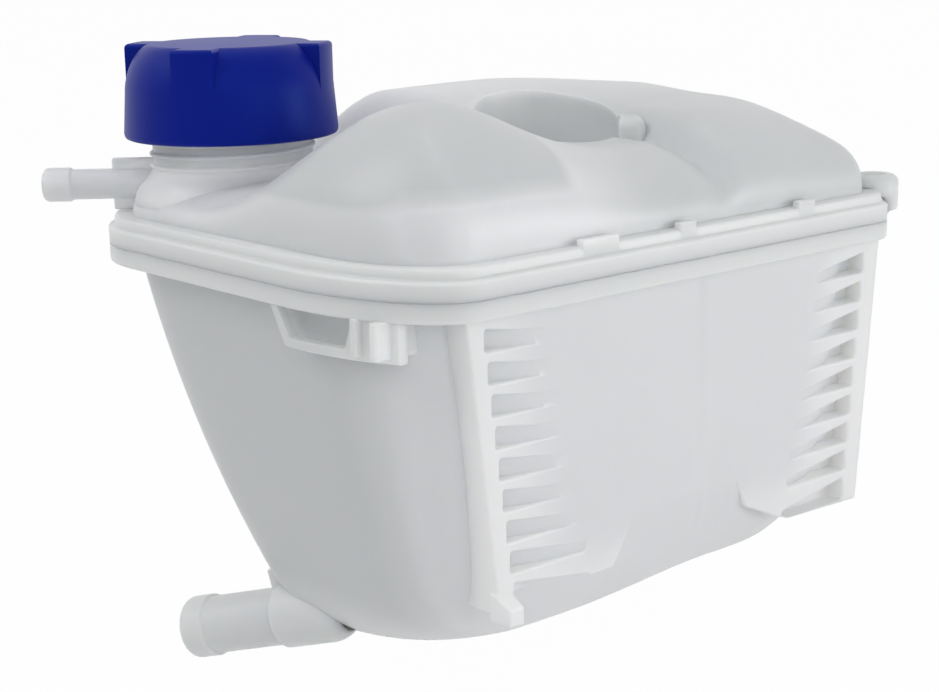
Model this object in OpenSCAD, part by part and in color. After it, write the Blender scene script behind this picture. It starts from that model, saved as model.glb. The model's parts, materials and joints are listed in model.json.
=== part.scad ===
// Coolant expansion tank of a car: two welded mouldings, a screw cap and its valve insert.
// Millimetres. x runs along the front plate, y goes back from it and z goes up.
// The sizes are laid out from the top left corner of the front plate, at the flange's
// lower face, and the whole part is then shifted onto the screw eye.

/* [Weld flange] */
// Length of the flange, from the left side to the right
flange_len = 214.5; // [210:0.5:224]
// Depth of the flange, from the front to the back
flange_depth = 175; // [170:1:190]
// Height of each of the two flange layers
flange_t = 6; // [4:0.5:8]
// How far the flange reaches past the plate on the left
flange_left = 23.5; // [20:0.5:28]
// How far the flange stands out in front of the plate
flange_front = 3; // [2:0.5:5]
// Chamfer on the edges of each layer
flange_chamfer = 0.7; // [0.3:0.1:1.2]
// Height of the step between the flange and the dome
step_h = 3.5; // [2:0.5:5]

/* [Bowl] */
// Wall of the mouldings
wall = 2.5; // [2:0.1:3]
// How far the bowl's sides lie inside the flange
bowl_inset = 7.5; // [6:0.5:9]
// Depth of the bowl at the front
bowl_depth = 97.5; // [92:0.5:100]
// How much deeper the floor is at the back
floor_drop = 32; // [24:1:36]
// Distance from the front over which the floor slopes
floor_run = 110; // [100:5:130]
// Radius between the walls and the floor
floor_r = 26; // [22:1:30]
// Inward lean of the left side over the full depth
lean_left = 31; // [24:1:36]
// Inward lean of the right side
lean_right = 12; // [8:1:14]
// Inward lean of the back
lean_back = 46; // [36:1:50]
// Thickness of the inner baffle
baffle_t = 2; // [1.6:0.1:2.5]
// Distance of the baffle from the plate's left edge
baffle_x = 96; // [85:1:110]

/* [Front plate] */
// Width of the plate at its top
plate_w = 183.5; // [178:0.5:188]
// Height of the plate
plate_h = 89.5; // [85:0.5:93]
// How far its left edge runs in from top to bottom
plate_in_left = 11; // [8:0.5:14]
// How far its right edge runs in
plate_in_right = 9.5; // [6:0.5:14]
// Rows of pockets on each side
pocket_rows = 9; // [5:1:9]
// Distance from one row to the next
pocket_pitch = 9.6; // [8.8:0.05:9.65]
// Height of a pocket at the post
pocket_h = 6.6; // [5.6:0.1:7]
// Height of a pocket at its inner end
pocket_tip_h = 3; // [2:0.1:4]
// Extra height of the lowest pockets
pocket_extra = 1; // [0:0.1:1.4]
// Length of the first pocket
pocket_len = 22.5; // [18:0.5:26]
// Length that each row adds
pocket_grow = 0.9; // [0.5:0.1:1.5]
// Width of the post outside the pockets
post_w = 6.2; // [5:0.1:8]

/* [Dome] */
// Height of the dome above the step
dome_h = 32.5; // [30:0.5:36]
// Width of the rounded border of the dome
dome_run = 30; // [26:1:34]
// Extra height of the front pillow
pillow_h = 8.5; // [4:0.5:10]
// Radius of the well in the dome
well_r = 24.5; // [20:0.5:27]
// Height of the well's floor above the flange's lower face
well_floor = 22; // [18:1:28]
// Depth of the groove from the well to the front
groove_h = 4; // [2:0.5:7]
// How far the dome falls toward the front, left of the groove
fall_h = 12; // [8:0.5:13]

/* [Filler neck] */
// Radius of the bore
neck_bore_r = 23; // [22:0.1:24]
// Radius of the outside
neck_r = 26.2; // [25.8:0.1:26.5]
// Height of the mouth above the flange's lower face
neck_top = 61; // [59:0.5:63]
// Distance of the neck's axis from the plate's left edge
neck_x = 16.6; // [14:0.2:20]
// Distance of the neck's axis behind the plate
neck_y = 136.3; // [133:0.1:138]

/* [Hose connections] */
// Radius of the outlet spigot
outlet_r = 9.8; // [8:0.1:10]
// Radius of the outlet's bead
outlet_bead_r = 10.6; // [10.2:0.1:11]
// Radius of the outlet's bore
outlet_bore_r = 7.9; // [6:0.1:8.2]
// Length of the outlet outside the wall, with the bead
outlet_len = 36; // [32:1:44]
// Length of the outlet's bead
outlet_bead_len = 9; // [7:0.5:11]
// Radius of the return nipple
nipple_r = 5; // [4.5:0.1:5.2]
// Radius of the nipple's bead
nipple_bead_r = 5.6; // [5.3:0.1:6]
// Radius of the nipple's bore
nipple_bore_r = 3.4; // [2.5:0.1:3.6]
// Length of the nipple outside the neck's shoulder
nipple_len = 30; // [26:1:34]
// Length of the nipple's bead
nipple_bead_len = 9; // [6:0.5:10]

/* [Fixings] */
// Radius of the screw eye's hole
eye_bore_r = 3.5; // [3:0.1:4]
// Outer radius of the screw eye
eye_r = 8.5; // [7.5:0.1:9]
// Height of the screw eye
eye_h = 12; // [9:0.5:14]
// Height of the mounting loop below the flange
loop_h = 12; // [10:0.5:14]
// Thickness of the loop's bars
loop_t = 3; // [2.4:0.1:3.6]

/* [Cap] */
// Outer radius of the skirt
cap_r = 35; // [34:0.1:36]
// Height of the cap
cap_h = 30; // [29:0.1:31]
// Height of the cap's lower rim above the flange's lower face
cap_z = 40; // [39.5:0.1:40.5]
// Wall of the cap
cap_wall = 2.4; // [2:0.1:2.8]
// Width of a grip lobe
lobe_w = 14; // [11:0.5:16]
// Radius that the lobes reach
lobe_r = 34; // [32.5:0.1:34]
// Direction of the first lobe, in degrees from x
lobe_turn = 36.3; // [0:0.1:90]
// Gap between the neck and the ring that screws onto it
thread_gap = 0.9; // [0.6:0.1:1.2]

/* [Valve insert] */
// Gap between the plug and the neck's bore
plug_gap = 0.6; // [0.4:0.05:0.8]
// Depth of the plug below the neck's mouth
plug_len = 18; // [16.5:0.5:20]
// Bore of the plug
plug_bore_r = 17; // [16.5:0.1:17.5]
// Radius of the relief port
port_r = 9; // [8:0.1:9.5]
// Section radius of the O-ring
o_ring_r = 1.6; // [1.4:0.05:1.8]
// Radius of the relief disc
disc_r = 13; // [12:0.1:14]
// Wire radius of the relief spring
relief_wire_r = 0.6; // [0.5:0.05:0.7]
// Wire radius of the vacuum spring
vacuum_wire_r = 0.3; // [0.2:0.05:0.35]
// Lift of the relief disc
relief_lift = 2.5; // [1.5:0.1:3]
// Travel of the vacuum poppet
vacuum_travel = 1.2; // [0.8:0.1:1.5]
// Clearance between parts that move on each other
run_gap = 0.3; // [0.2:0.05:0.4]

/* [Hidden] */

$fn = 72;
corner_n = 7;
side_n = [13, 5, 9, 5];
eps = 0.05;
far = 300;

seam_z = flange_t;
flange_top = 2 * flange_t;
dome_z = flange_top + step_h;
flange_box = [-flange_left, -flange_front, flange_len - flange_left, flange_depth - flange_front];
flange_corners = [[28, 58], [11, 14], [26, 28], [25, 32]];
dome_inset = 6.5;
dome_corners = [[30, 46], [22, 26], [34, 34], [30, 36]];
plate_back = 0.3;
plate_back_y = 22;

// Places in the plan, measured from the plate's top left corner
eye_out = 3.5;
eye_at = [flange_len - flange_left + eye_out, 12, seam_z + 1.5];
eye_web = 18;
neck_at = [neck_x, neck_y, 0];
well_at = [93, 67, 0];
bowl_mid = [70, 75, 0];
dome_mid = [well_at.x, well_at.y, 0];
tab_at = [44, 85, 140];
tab_len = [15, 7, 8];

// The dome's forms
pillow_at = [24, 40];
pillow_size = [26, 26];
swell_h = 3;
swell_at = [118, 112];
swell_size = [70, 36];
groove_from = [110, -10];
groove_to = [110, 46];
groove_w = 5;
trough_h = 7;
trough_from = [26, 93];
trough_to = [66, 84];
trough_w = 14;
basin_low = 12;
basin_r = 36;
basin_run = 30;
fall_x = [15, 100];
fall_y = [92, 50];
ridge_x = [108, 122];
ridge_share = 0.45;
right_x = [125, 173];
right_y = [60, 10];
right_fall_h = 2;
right_front_h = 4;

// The block on the well's rim
block_turn = -42;
block_w = 16;
block_t = 8;
block_top = 44;

// The neck's foot flares out onto the dome: radii and heights above the dome's border
neck_foot = [[33, 4], [31.5, 10], [28.5, 14], [27, 17]];
neck_foot_top = 19;

// The bowl's lean at its front left corner and the baffle's passages
skew = 6;
skew_x = [60, 10];
skew_y = [95, 20];
passage_y = [40, 120];
passage_r = 14;

// The lower edge of the front plate: two feet under the pockets, and higher between them
plate_mid_h = bowl_depth - floor_r - 1.5;
foot_left = 46;
foot_right = 31;
foot_rise = 4;
foot_run = 10;

loop_from = 27;
loop_span = 32;
loop_inset = 1.3;
loop_rib_len = 24;
loop_rib_out = 4;
nipple_turn = 140;
nipple_z = 24.5;
nipple_from = 31;
nipple_web = [17, 3, 17];
outlet_at = [19.5, 95.5, -115.4];
outlet_turn = 24;
outlet_dip = 15;
outlet_root = 20;

function smooth(t) = let (c = min(max(t, 0), 1)) c * c * (3 - 2 * c);
function fade(v, span) = smooth((v - span[0]) / (span[1] - span[0]));
function bump(p, at, size) = exp(-pow((p.x - at.x) / size.x, 2) - pow((p.y - at.y) / size.y, 2));
function along(p, a, b) = let (d = b - a) min(max(((p - a) * d) / (d * d), 0), 1);
function from_line(p, a, b) = norm(p - a - (b - a) * along(p, a, b));

// A rounded outline: box is [x0, y0, x1, y1] and corners start at the front left.
function arc_points(c, r, a0) =
    [for (i = [0:corner_n])
        let (a = a0 + 90 * i / corner_n)
        [c.x + r.x * cos(a), c.y + r.y * sin(a)]];
function between(p, q, n) = [for (i = [1:n]) p + (q - p) * i / (n + 1)];
function outline(box, corners, inset) =
    let (r = [for (c = corners) [max(c.x - inset, 4), max(c.y - inset, 4)]],
         lo = [box[0] + inset, box[1] + inset],
         hi = [box[2] - inset, box[3] - inset],
         fl = arc_points([lo.x + r[0].x, lo.y + r[0].y], r[0], 180),
         fr = arc_points([hi.x - r[1].x, lo.y + r[1].y], r[1], 270),
         br = arc_points([hi.x - r[2].x, hi.y - r[2].y], r[2], 0),
         bl = arc_points([lo.x + r[3].x, hi.y - r[3].y], r[3], 90))
    concat(fl, between(fl[corner_n], fr[0], side_n[0]), fr, between(fr[corner_n], br[0], side_n[1]),
           br, between(br[corner_n], bl[0], side_n[2]), bl, between(bl[corner_n], fl[0], side_n[3]));
function lift(points, z) = [for (p = points) [p.x, p.y, z]];

// Skins through a list of rings with the same number of points, closed by a point at each end.
// Each cell is split along the same diagonal, unless the other one is clearly shorter.
function split(p, a, b, c, d) =
    norm(p[a] - p[c]) < 1.25 * norm(p[b] - p[d]) ? [[a, d, c], [a, c, b]] : [[a, d, b], [b, d, c]];
module skin(first, rings, last) {
    n = len(rings[0]);
    m = len(rings);
    points = concat([first], [for (r = rings) for (p = r) p], [last]);
    sides = [for (i = [0:m - 2]) for (j = [0:n - 1])
        let (k = (j + 1) % n, a = 1 + i * n + j, b = 1 + i * n + k, c = b + n, d = a + n)
        each split(points, a, b, c, d)];
    start = [for (j = [0:n - 1]) [0, 1 + j, 1 + (j + 1) % n]];
    stop = [for (j = [0:n - 1]) [m * n + 1, (m - 1) * n + 1 + (j + 1) % n, (m - 1) * n + 1 + j]];
    polyhedron(points = points, faces = concat(sides, start, stop), convexity = 8);
}

// The bowl: the floor's depth, the outline at each level, and rings from the floor to the rim.
function floor_depth(y) = bowl_depth + floor_drop * sin(90 * min(max(y / floor_run, 0), 1));
function bowl_box(u) =
    let (lean = 0.55 * u + 0.45 * u * u)
    [flange_box[0] + bowl_inset + lean_left * lean, plate_back,
     flange_box[2] - bowl_inset - lean_right * lean, flange_box[3] - bowl_inset - lean_back * lean];
function bowl_corners(u) = [[44 - 6 * u, 42 - 18 * u], [34 + 6 * u, 30], [30, 30], [28 + 6 * u, 30]];
function bowl_ring(t, phi, skin_in) =
    let (r = floor_r - skin_in,
         u = 0.79 * t + 0.21 * sin(phi),
         points = outline(bowl_box(u), bowl_corners(u), skin_in + r * (1 - cos(phi))))
    [for (p = points)
        [p.x - skew * u * fade(p.x, skew_x) * fade(p.y, skew_y), p.y,
         -t * (floor_depth(p.y) - floor_r) - r * sin(phi)]];
function floor_ring(share, skin_in) =
    [for (p = bowl_ring(1, 90, skin_in))
        let (q = bowl_mid + ([p.x, p.y, 0] - bowl_mid) * share) [q.x, q.y, skin_in - floor_depth(q.y)]];
function floor_mid(skin_in) = [bowl_mid.x, bowl_mid.y, skin_in - floor_depth(bowl_mid.y)];
function bowl_rings(skin_in) = concat(
    [for (share = [0.4, 0.75]) floor_ring(share, skin_in)],
    [for (phi = [90:-15:15]) bowl_ring(1, phi, skin_in)],
    [for (t = [1:-0.25:0]) bowl_ring(t, 0, skin_in)]);

module bowl_outer() {
    skin(floor_mid(0), concat(bowl_rings(0), [
        lift(outline(flange_box, flange_corners, flange_chamfer), 0),
        lift(outline(flange_box, flange_corners, 0), flange_chamfer),
        lift(outline(flange_box, flange_corners, 0), seam_z - flange_chamfer),
        lift(outline(flange_box, flange_corners, flange_chamfer), seam_z)]),
        [bowl_mid.x, bowl_mid.y, seam_z]);
}

module bowl_inner() {
    skin(floor_mid(wall), concat(bowl_rings(wall), [
        lift(bowl_ring(0, 0, wall), seam_z + 1)]),
        [bowl_mid.x, bowl_mid.y, seam_z + 1]);
}

// The front plate: a flat block in front of the bowl, with a stack of pockets at each side.
// The pockets end on the bowl's curved wall.
function plate_left(z) = -plate_in_left * z / plate_h;
function plate_right(z) = plate_w + plate_in_right * z / plate_h;

module plate_block() {
    low = -plate_h;
    left = plate_left(low) + foot_left;
    right = plate_right(low) - foot_right;
    translate([0, plate_back_y, 0])
        rotate([90, 0, 0])
            linear_extrude(plate_back_y)
                polygon([[0, 1], [plate_w, 1], [plate_right(low), low], [right, low + foot_rise],
                         [right - foot_run, -plate_mid_h], [left + foot_run, -plate_mid_h],
                         [left, low + foot_rise], [plate_left(low), low]]);
}

// A pocket is level below, falls above and has a round inner end.
module pocket(x, z, length, h, way) {
    reach = plate_back_y + 10;
    r = pocket_tip_h / 2;
    translate([x, plate_back_y + 5, z - h / 2])
        scale([way, 1, 1])
            rotate([90, 0, 0])
                linear_extrude(reach)
                    polygon(concat([[0, h], [0, 0]],
                                   [for (a = [-90:30:90]) [length + r * cos(a), r + r * sin(a)]]));
}

module pockets() {
    for (i = [0:pocket_rows - 1]) {
        length = pocket_len + pocket_grow * i;
        h = i < pocket_rows - 1 ? pocket_h : pocket_h + pocket_extra;
        z_left = -3.2 - pocket_pitch * i - h / 2;
        z_right = z_left - 0.8;
        pocket(plate_left(z_left) + post_w, z_left, length, h, 1);
        pocket(plate_right(z_right) - post_w - 1.5, z_right, length, h, -1);
    }
}

// A tube along z with a longer land at its end, rounded at the front.
module beaded_tube(length, r, bead_r, bead_len) {
    nose = 2;
    rotate_extrude()
        polygon([[0, 0], [r, 0], [r, length - bead_len - 0.8], [bead_r, length - bead_len],
                 [bead_r, length - nose], [bead_r - 0.6, length - 0.6], [bead_r - nose, length],
                 [0, length]]);
}

module on_outlet() {
    translate(outlet_at)
        rotate([0, 0, outlet_turn])
            rotate([-90 - outlet_dip, 0, 0])
                children();
}

module outlet() {
    on_outlet() beaded_tube(outlet_root + outlet_len, outlet_r, outlet_bead_r, outlet_bead_len);
    // The thicker root has a round end inside the bowl's wall.
    root_r = outlet_r + 1.2;
    on_outlet()
        rotate_extrude()
            polygon(concat([for (a = [-90:15:0]) [root_r * cos(a), root_r * sin(a)]],
                           [[root_r, outlet_root - 2], [0, outlet_root - 2]]));
    on_outlet()
        translate([-loop_t / 2, -outlet_r - 7, 8])
            cube([loop_t, 10, outlet_root - 8]);
}

// The loop hangs below the flange and follows its rounded front corner.
module mounting_loop() {
    outer = outline(flange_box, flange_corners, loop_inset);
    inner = outline(flange_box, flange_corners, loop_inset + loop_t);
    last = corner_n - 2;
    reach = 40;
    difference() {
        translate([0, 0, -loop_h])
            linear_extrude(loop_h + 1)
                polygon(concat([outer[0] + [0, 12]], [for (i = [0:last]) outer[i]],
                               [for (i = [last:-1:0]) inner[i]], [inner[0] + [0, 12]]));
        translate([-reach, loop_from, 0])
            rotate([90, 0, 90])
                linear_extrude(2 * reach)
                    polygon([[0, -0.1], [loop_span, -0.1], [loop_span - 6, loop_t - loop_h],
                             [3, loop_t - loop_h]]);
        translate([-reach, loop_from + loop_span + loop_t, 0])
            rotate([90, 0, 90])
                linear_extrude(2 * reach)
                    polygon([[0, 0], [-7, -loop_h], [-7, -loop_h - 9], [reach, -loop_h - 9], [reach, 0]]);
        translate([-reach, loop_from - 14 - reach, -loop_h - 1])
            cube([2 * reach, reach, loop_h + 0.9]);
    }
    for (y = [loop_from - loop_t, loop_from - 12])
        translate([flange_box[0] + bowl_inset - loop_rib_out, y, -loop_h + 1.5])
            cube([loop_rib_len, loop_t, loop_h - 1]);
}

module baffle() {
    low = bowl_depth + floor_drop;
    intersection() {
        bowl_inner_fit();
        difference() {
            translate([baffle_x - baffle_t / 2, 0, -low])
                cube([baffle_t, flange_depth, low - 5]);
            for (y = passage_y)
                translate([baffle_x - 2 * baffle_t, y, -floor_depth(y)])
                    rotate([0, 90, 0])
                        cylinder(h = 4 * baffle_t, r = passage_r);
        }
    }
}

// The space inside the bowl grown a little into its wall, to seat the baffle.
module bowl_inner_fit() {
    skin(floor_mid(wall / 2), bowl_rings(wall / 2), [bowl_mid.x, bowl_mid.y, 0]);
}

module lower_shell() {
    color([0.90, 0.92, 0.92, 0.85]) {
        difference() {
            union() {
                bowl_outer();
                difference() {
                    plate_block();
                    pockets();
                }
                outlet();
                mounting_loop();
            }
            bowl_inner();
            on_outlet()
                translate([0, 0, -12])
                    cylinder(h = far, r = outlet_bore_r);
        }
        baffle();
    }
}

// The dome: its height over each point of the plan, and rings from the border to the middle.
function basin(p) = smooth((norm([p.x - neck_x, 0.78 * (p.y - neck_y)]) - basin_r) / basin_run);
function groove(p) = exp(-pow(from_line([p.x, p.y], groove_from, groove_to) / groove_w, 2));
function trough(p) = exp(-pow(from_line([p.x, p.y], trough_from, trough_to) / trough_w, 2));
function front_fall(p) =
    fall_h * fade(p.x, fall_x) * fade(p.y, fall_y) * (1 - ridge_share * fade(p.x, ridge_x));
function right_fall(p) = fade(p.x, right_x) * (right_fall_h + right_front_h * fade(p.y, right_y));
function crown(p) =
    let (high = dome_h + pillow_h * bump(p, pillow_at, pillow_size) + swell_h * bump(p, swell_at, swell_size)
             - front_fall(p) - right_fall(p) - groove_h * groove(p) - trough_h * trough(p))
    basin_low + (high - basin_low) * basin(p);
function dome_point(p, rise, skin_in) = [p.x, p.y, dome_z + rise * crown(p) - skin_in];
function dome_ring(phi, skin_in) =
    let (inset = dome_inset + skin_in + (dome_run - skin_in) * (1 - cos(phi)))
    [for (p = outline(flange_box, dome_corners, inset))
        dome_point(p, pow(sin(phi), 0.85), skin_in * sin(phi))];
function top_ring(share, skin_in) =
    [for (p = dome_ring(90, 0))
        let (q = dome_mid + ([p.x, p.y, 0] - dome_mid) * share) dome_point(q, 1, skin_in)];
function dome_rings(skin_in) = concat(
    [for (phi = [0:15:90]) dome_ring(phi, skin_in)],
    [for (share = [0.8, 0.6, 0.4, 0.2]) top_ring(share, skin_in)]);

module dome_outer() {
    skin([dome_mid.x, dome_mid.y, seam_z], concat([
        lift(outline(flange_box, flange_corners, flange_chamfer), seam_z),
        lift(outline(flange_box, flange_corners, 0), seam_z + flange_chamfer),
        lift(outline(flange_box, flange_corners, 0), flange_top - 1),
        lift(outline(flange_box, flange_corners, 1.2), flange_top),
        lift(outline(flange_box, flange_corners, 2), dome_z - 0.5),
        lift(outline(flange_box, flange_corners, 2.8), dome_z)],
        dome_rings(0)), dome_point(dome_mid, 1, 0));
}

module dome_inner() {
    skin([dome_mid.x, dome_mid.y, seam_z - 1], concat([
        lift(dome_ring(0, wall), seam_z - 1)],
        dome_rings(wall)), dome_point(dome_mid, 1, wall));
}

module well() {
    intersection() {
        dome_outer();
        translate([well_at.x, well_at.y, well_floor - wall])
            cylinder(h = far, r = well_r + wall);
    }
    // A block stands on the well's rim where the groove runs into it, round at its back
    intersection() {
        translate([well_at.x, well_at.y, well_floor])
            cylinder(h = block_top - well_floor, r = well_r + block_t);
        translate(well_at)
            rotate([0, 0, block_turn])
                translate([well_r - wall, -block_w / 2, 0])
                    cube([block_t + 2 * wall, block_w, far]);
    }
}

module on_nipple() {
    translate([neck_at.x, neck_at.y, nipple_z])
        rotate([0, 0, nipple_turn])
            rotate([0, 90, 0])
                children();
}

module nipple() {
    on_nipple()
        translate([0, 0, nipple_from - 8])
            beaded_tube(nipple_len + 10, nipple_r, nipple_bead_r, nipple_bead_len);
    // The web that stiffens the nipple's root
    on_nipple()
        translate([-nipple_web.x / 2, -nipple_web.y / 2, nipple_from - 8])
            cube(nipple_web);
}

module neck() {
    translate(neck_at) {
        low = dome_z + neck_foot[0].y;
        top = dome_z + neck_foot_top;
        translate([0, 0, low])
            cylinder(h = neck_top - low, r = neck_r);
        rotate_extrude()
            polygon(concat([[0, low]], [for (s = neck_foot) [s.x, dome_z + s.y]],
                           [[neck_r, top], [0, top]]));
    }
}

module screw_eye() {
    translate(eye_at)
        cylinder(h = eye_h, r = eye_r);
    translate([eye_at.x - eye_web, eye_at.y - eye_r + 1, seam_z + 0.5])
        cube([eye_web, 2 * eye_r - 2, flange_t]);
}

module tabs() {
    for (i = [0:len(tab_at) - 1])
        translate([tab_at[i], 2 - flange_front, flange_top - 1])
            cube([tab_len[i], 3, step_h + 3]);
}

module upper_shell() {
    color([0.93, 0.94, 0.94, 0.85])
        difference() {
            union() {
                difference() {
                    union() {
                        dome_outer();
                        nipple();
                        neck();
                    }
                    dome_inner();
                }
                well();
                screw_eye();
                tabs();
            }
            translate([well_at.x, well_at.y, well_floor])
                cylinder(h = far, r = well_r);
            translate([neck_at.x, neck_at.y, seam_z - 2])
                cylinder(h = far, r = neck_bore_r);
            on_nipple()
                translate([0, 0, 10])
                    cylinder(h = far, r = nipple_bore_r);
            translate([eye_at.x, eye_at.y, seam_z - 1])
                cylinder(h = far, r = eye_bore_r);
        }
}

// The cap, seen from its lower rim up.
ring_r = neck_r + thread_gap;
shoulder_z = 15;
top_r = 25.5;
shoulder_bulge = 1.2;
ceiling_z = cap_h - 3;
snap_r = 18;

module cap_round() {
    rotate_extrude()
        polygon(concat(
            [[0, 0], [cap_r - 1.2, 0], [cap_r - 0.2, 1], [cap_r, 2.2], [lobe_r, shoulder_z]],
            [for (a = [9:9:90])
                [top_r + (lobe_r - top_r) * pow(cos(a), shoulder_bulge),
                 shoulder_z + (cap_h - shoulder_z) * pow(sin(a), shoulder_bulge)]],
            [[0, cap_h]]));
}

module cap_lobes() {
    intersection() {
        rotate_extrude()
            polygon([[0, 8], [lobe_r, 8], [lobe_r, cap_h - 1.5], [lobe_r - 1.5, cap_h], [0, cap_h]]);
        union() {
            for (k = [0:3])
                rotate([0, 0, lobe_turn + 90 * k])
                    translate([0, -lobe_w / 2, 0])
                        cube([lobe_r - 0.7, lobe_w, cap_h]);
        }
    }
}

module cap_shell() {
    color([0.06, 0.13, 0.62])
        translate([neck_at.x, neck_at.y, cap_z]) {
            difference() {
                union() {
                    cap_round();
                    cap_lobes();
                }
                rotate_extrude()
                    polygon([[0, -1], [ring_r, -1], [ring_r, ceiling_z], [0, ceiling_z]]);
                rotate_extrude()
                    polygon([[ring_r + cap_wall, -1], [cap_r - cap_wall, -1],
                             [lobe_r - cap_wall, shoulder_z - 1], [ring_r + cap_wall, shoulder_z + 2]]);
            }
            // The snap ring that holds the valve insert
            rotate_extrude()
                polygon([[snap_r + 0.6, ceiling_z + eps], [snap_r + 0.6, ceiling_z - 2.2],
                         [snap_r - 0.4, ceiling_z - 2.6], [snap_r - 0.4, ceiling_z - 3.2],
                         [snap_r + 2.6, ceiling_z - 3.2], [snap_r + 2.6, ceiling_z + eps]]);
        }
}

// The valve insert, measured from the neck's mouth.
plug_r = neck_bore_r - plug_gap;
seat_z = -plug_len + 5;
seat_t = 2;
rim_z = run_gap;
rim_t = 1.6;
groove_z = -9;
groove_half = o_ring_r + 0.3;
groove_r = plug_r - 2 * o_ring_r + 0.5;
insert_top = cap_z + ceiling_z - neck_top - run_gap;
seal_t = 0.8;
disc_t = 1.5;
spring_low = seat_z + seal_t + disc_t;
spring_r = 10.5;
stem_r = 1.7;
small_spring_r = 3.2;
small_spring_low = 2.6;
small_spring_h = small_spring_low + vacuum_travel;
relief_spring_low = 5.8;
relief_spring_h = relief_spring_low + relief_lift;
retainer_z = spring_low + relief_spring_h;
retainer_t = 1.8;
retainer_bore_r = 5.2;
retainer_hole_r = 1.9;
retainer_hole_at = 13.6;

module at_mouth() {
    translate([neck_at.x, neck_at.y, neck_top])
        children();
}

module valve_housing() {
    color([0.10, 0.10, 0.11])
        at_mouth()
            difference() {
                rotate_extrude()
                    polygon([[port_r, seat_z - seat_t], [plug_bore_r, seat_z - seat_t],
                             [plug_bore_r, -plug_len], [plug_r - 1, -plug_len],
                             [plug_r, -plug_len + 1], [plug_r, groove_z - groove_half],
                             [groove_r, groove_z - groove_half], [groove_r, groove_z + groove_half],
                             [plug_r, groove_z + groove_half], [plug_r, rim_z], [neck_r - 0.3, rim_z],
                             [neck_r - 0.3, rim_z + rim_t], [snap_r - 0.8, rim_z + rim_t],
                             [snap_r - 0.8, insert_top - 1.9], [snap_r + 0.2, insert_top - 1.5],
                             [snap_r + 0.2, insert_top - 0.4], [snap_r - 0.2, insert_top],
                             [snap_r - 2, insert_top], [plug_bore_r - 1.4, rim_z + rim_t],
                             [plug_bore_r, rim_z], [plug_bore_r, seat_z], [port_r, seat_z]]);
                for (k = [0:3])
                    rotate([0, 0, 45 + 90 * k])
                        translate([0, 0, -4.6])
                            rotate([0, 90, 0])
                                cylinder(h = plug_r + 1, r = 1.5);
            }
}

module housing_o_ring() {
    color([0.05, 0.05, 0.05])
        at_mouth()
            translate([0, 0, groove_z])
                rotate_extrude()
                    translate([groove_r + o_ring_r, 0])
                        circle(r = o_ring_r, $fn = 24);
}

module relief_disc() {
    color([0.75, 0.75, 0.72])
        at_mouth()
            rotate_extrude()
                polygon([[stem_r + 0.1, seat_z + seal_t], [disc_r, seat_z + seal_t], [disc_r, spring_low],
                         [spring_r - 2, spring_low], [spring_r - 2, spring_low + 1.2],
                         [small_spring_r + 1.6, spring_low + 1.2], [small_spring_r + 1.6, spring_low],
                         [stem_r + 0.1, spring_low]]);
}

module relief_seal() {
    color([0.08, 0.08, 0.08])
        at_mouth()
            rotate_extrude()
                polygon([[stem_r + 1, seat_z], [disc_r - 0.4, seat_z], [disc_r - 0.4, seat_z + seal_t],
                         [stem_r + 1, seat_z + seal_t]]);
}

// A coil of round wire with its ends flattened by the pitch.
module coil(r, wire_r, low, high, turns) {
    steps = 14;
    sides = 6;
    count = round(turns * steps);
    rise = high - low - 2 * wire_r;
    path = [for (i = [0:count])
        let (a = 360 * i / steps, s = smooth((i / count - 0.08) / 0.84))
        [r * cos(a), r * sin(a), low + wire_r + rise * s]];
    rings = [for (i = [0:count])
        let (a = 360 * i / steps)
        [for (k = [0:sides - 1])
            let (b = -360 * k / sides)
            path[i] + wire_r * [cos(a) * cos(b), sin(a) * cos(b), sin(b)]]];
    skin(path[0], rings, path[count]);
}

module relief_spring() {
    color([0.72, 0.72, 0.74])
        at_mouth()
            coil(spring_r, relief_wire_r, spring_low + 0.05, retainer_z - 0.05, 3.5);
}

module vacuum_poppet() {
    head_z = spring_low + small_spring_h;
    head_r = small_spring_r + 0.8;
    head_t = 0.9;
    foot_r = port_r - 2.2;
    color([0.78, 0.62, 0.28])
        at_mouth()
            rotate_extrude()
                polygon([[0, seat_z - 1.5], [foot_r - 0.4, seat_z - 1.5], [foot_r, seat_z - 1.1],
                         [foot_r, seat_z - 0.05], [stem_r, seat_z - 0.05], [stem_r, head_z],
                         [head_r, head_z], [head_r, head_z + head_t], [0, head_z + head_t]]);
}

module vacuum_spring() {
    color([0.72, 0.72, 0.74])
        at_mouth()
            coil(small_spring_r, vacuum_wire_r, spring_low + 0.05, spring_low + small_spring_h - 0.05, 3);
}

module spring_retainer() {
    color([0.15, 0.15, 0.16])
        at_mouth()
            difference() {
                translate([0, 0, retainer_z])
                    cylinder(h = retainer_t, r = plug_bore_r);
                translate([0, 0, retainer_z - 1])
                    cylinder(h = retainer_t + 2, r = retainer_bore_r);
                for (k = [0:5])
                    rotate([0, 0, 60 * k])
                        translate([retainer_hole_at, 0, retainer_z - 1])
                            cylinder(h = retainer_t + 2, r = retainer_hole_r, $fn = 24);
            }
}

module on_eye() {
    translate(-eye_at)
        children();
}

on_eye() upper_shell();
on_eye() lower_shell();
on_eye() cap_shell();
on_eye() valve_housing();
on_eye() housing_o_ring();
on_eye() relief_disc();
on_eye() relief_seal();
on_eye() relief_spring();
on_eye() vacuum_poppet();
on_eye() vacuum_spring();
on_eye() spring_retainer();
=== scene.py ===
"""Coolant expansion tank: smooth mouldings, milky plastic, blue cap, soft light and the photograph's camera."""
import json
import math

import bmesh
import bpy
import numpy as np
from mathutils import Matrix, Vector


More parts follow.
